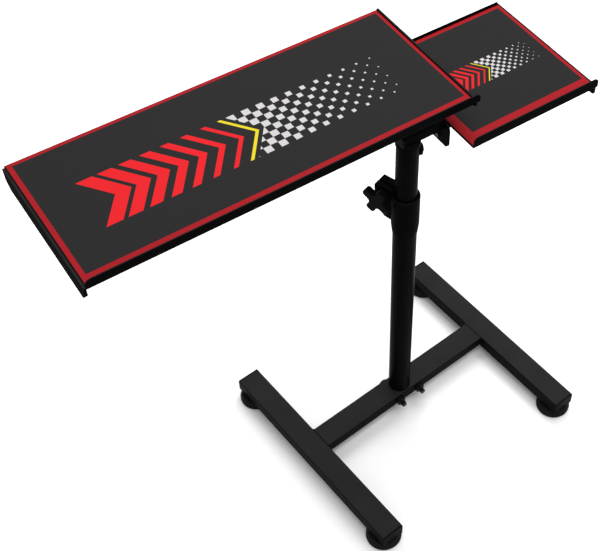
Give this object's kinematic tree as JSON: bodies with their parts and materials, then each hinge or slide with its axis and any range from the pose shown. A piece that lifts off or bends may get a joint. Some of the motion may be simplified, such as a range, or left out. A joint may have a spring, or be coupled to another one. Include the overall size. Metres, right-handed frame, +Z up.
{
  "type": "keyboard and mouse tray stand",
  "caption": "Free-standing stand with an H-shaped base, a telescoping round column, a long keyboard tray and a smaller, lower mouse tray that tilt and swivel.",
  "frame": {"origin": "middle of the stand's bounding box in plan, on the floor under the feet", "axes": "+X to the right along the cross bar, +Y to the rear along the foot bars, +Z up"},
  "size_m": [0.9718, 0.5718, 0.8653],
  "materials": {
    "powder_coat": "matte black powder coat on steel",
    "tube_coat": "satin black paint on steel tube",
    "moulded_black": "moulded black plastic",
    "zinc": "bright zinc-plated steel",
    "black_steel": "black oxide steel",
    "mat_rubber": "cloth-faced charcoal rubber mat with a red border",
    "foot_rubber": "matte black rubber"
  },
  "bodies": {
    "stand_base": {"cross_bar": "powder_coat", "left_foot_bar": "powder_coat", "right_foot_bar": "powder_coat", "left_front_bar_cap": "moulded_black", "left_rear_bar_cap": "moulded_black", "right_front_bar_cap": "moulded_black", "right_rear_bar_cap": "moulded_black", "column_shoe": "zinc", "left_shoe_bolt": "black_steel", "right_shoe_bolt": "black_steel", "left_shoe_nut": "black_steel", "right_shoe_nut": "black_steel", "front_left_insert": "zinc", "front_right_insert": "zinc", "rear_left_insert": "zinc", "rear_right_insert": "zinc", "outer_tube": "tube_coat", "column_bush": "moulded_black", "clamp_collar": "powder_coat", "clamp_nut": "black_steel"},
    "clamp_handle": {"clamp_knob": "moulded_black", "clamp_screw": "zinc"},
    "inner_column": {"inner_tube": "tube_coat", "swivel_lock_screw": "black_steel", "tube_end_plug": "moulded_black"},
    "swivel_head": {"swivel_hub": "powder_coat", "support_arm": "powder_coat", "arm_end_cap": "moulded_black", "mouse_drop_plate": "powder_coat", "left_arm_lug": "powder_coat", "right_arm_lug": "powder_coat"},
    "keyboard_tray": {"keyboard_tray_pan": "powder_coat", "keyboard_mat": "mat_rubber", "keyboard_left_end_plate": "powder_coat", "keyboard_right_end_plate": "powder_coat", "tray_rail": "powder_coat", "left_tray_lug": "powder_coat", "right_tray_lug": "powder_coat", "left_pivot_bolt": "black_steel", "right_pivot_bolt": "black_steel", "left_pivot_nut": "black_steel", "right_pivot_nut": "black_steel"},
    "mouse_hinge": {"mouse_bracket": "powder_coat", "mouse_pivot_bolt": "black_steel", "mouse_pivot_nut": "black_steel"},
    "mouse_tray": {"mouse_tray_pan": "powder_coat", "mouse_mat": "mat_rubber", "mouse_right_end_plate": "powder_coat", "left_slide_screw": "black_steel", "right_slide_screw": "black_steel"},
    "front_left_foot": {"front_left_foot_pad": "foot_rubber", "front_left_foot_stud": "zinc"},
    "front_right_foot": {"front_right_foot_pad": "foot_rubber", "front_right_foot_stud": "zinc"},
    "rear_left_foot": {"rear_left_foot_pad": "foot_rubber", "rear_left_foot_stud": "zinc"},
    "rear_right_foot": {"rear_right_foot_pad": "foot_rubber", "rear_right_foot_stud": "zinc"}
  },
  "joints": [
    {"name": "front_left_foot_turn", "type": "hinge", "parent": "stand_base", "child": "front_left_foot", "pos_m": [-0.12359, -0.24937, 0], "axis": [0, 0, 1], "continuous": true},
    {"name": "front_right_foot_turn", "type": "hinge", "parent": "stand_base", "child": "front_right_foot", "pos_m": [0.36421, -0.24937, 0], "axis": [0, 0, 1], "continuous": true},
    {"name": "rear_left_foot_turn", "type": "hinge", "parent": "stand_base", "child": "rear_left_foot", "pos_m": [-0.12359, 0.18453, 0], "axis": [0, 0, 1], "continuous": true},
    {"name": "rear_right_foot_turn", "type": "hinge", "parent": "stand_base", "child": "rear_right_foot", "pos_m": [0.36421, 0.18453, 0], "axis": [0, 0, 1], "continuous": true},
    {"name": "clamp_knob_turn", "type": "hinge", "parent": "stand_base", "child": "clamp_handle", "pos_m": [0.10764, 0.02581, 0.6326], "axis": [0.9703, 0.2419, 0], "continuous": true},
    {"name": "column_height", "type": "slide", "parent": "stand_base", "child": "inner_column", "axis": [0, 0, 1], "range_m": [-0.09, 0.2]},
    {"name": "head_swivel", "type": "hinge", "parent": "inner_column", "child": "swivel_head", "pos_m": [0.11756, -0.01397, 0.7723], "axis": [0, 0, 1], "continuous": true},
    {"name": "keyboard_tilt", "type": "hinge", "parent": "swivel_head", "child": "keyboard_tray", "pos_m": [0.11756, -0.01397, 0.8223], "axis": [0.9958, -0.0919, 0], "range_deg": [-4, 20]},
    {"name": "mouse_tilt", "type": "hinge", "parent": "swivel_head", "child": "mouse_hinge", "pos_m": [0.11756, -0.01397, 0.7623], "axis": [0.9958, -0.0919, 0], "range_deg": [-20, 4]},
    {"name": "mouse_tray_slide", "type": "slide", "parent": "mouse_hinge", "child": "mouse_tray", "axis": [0.9958, -0.0919, 0], "range_m": [0, 0.08]}
  ]
}
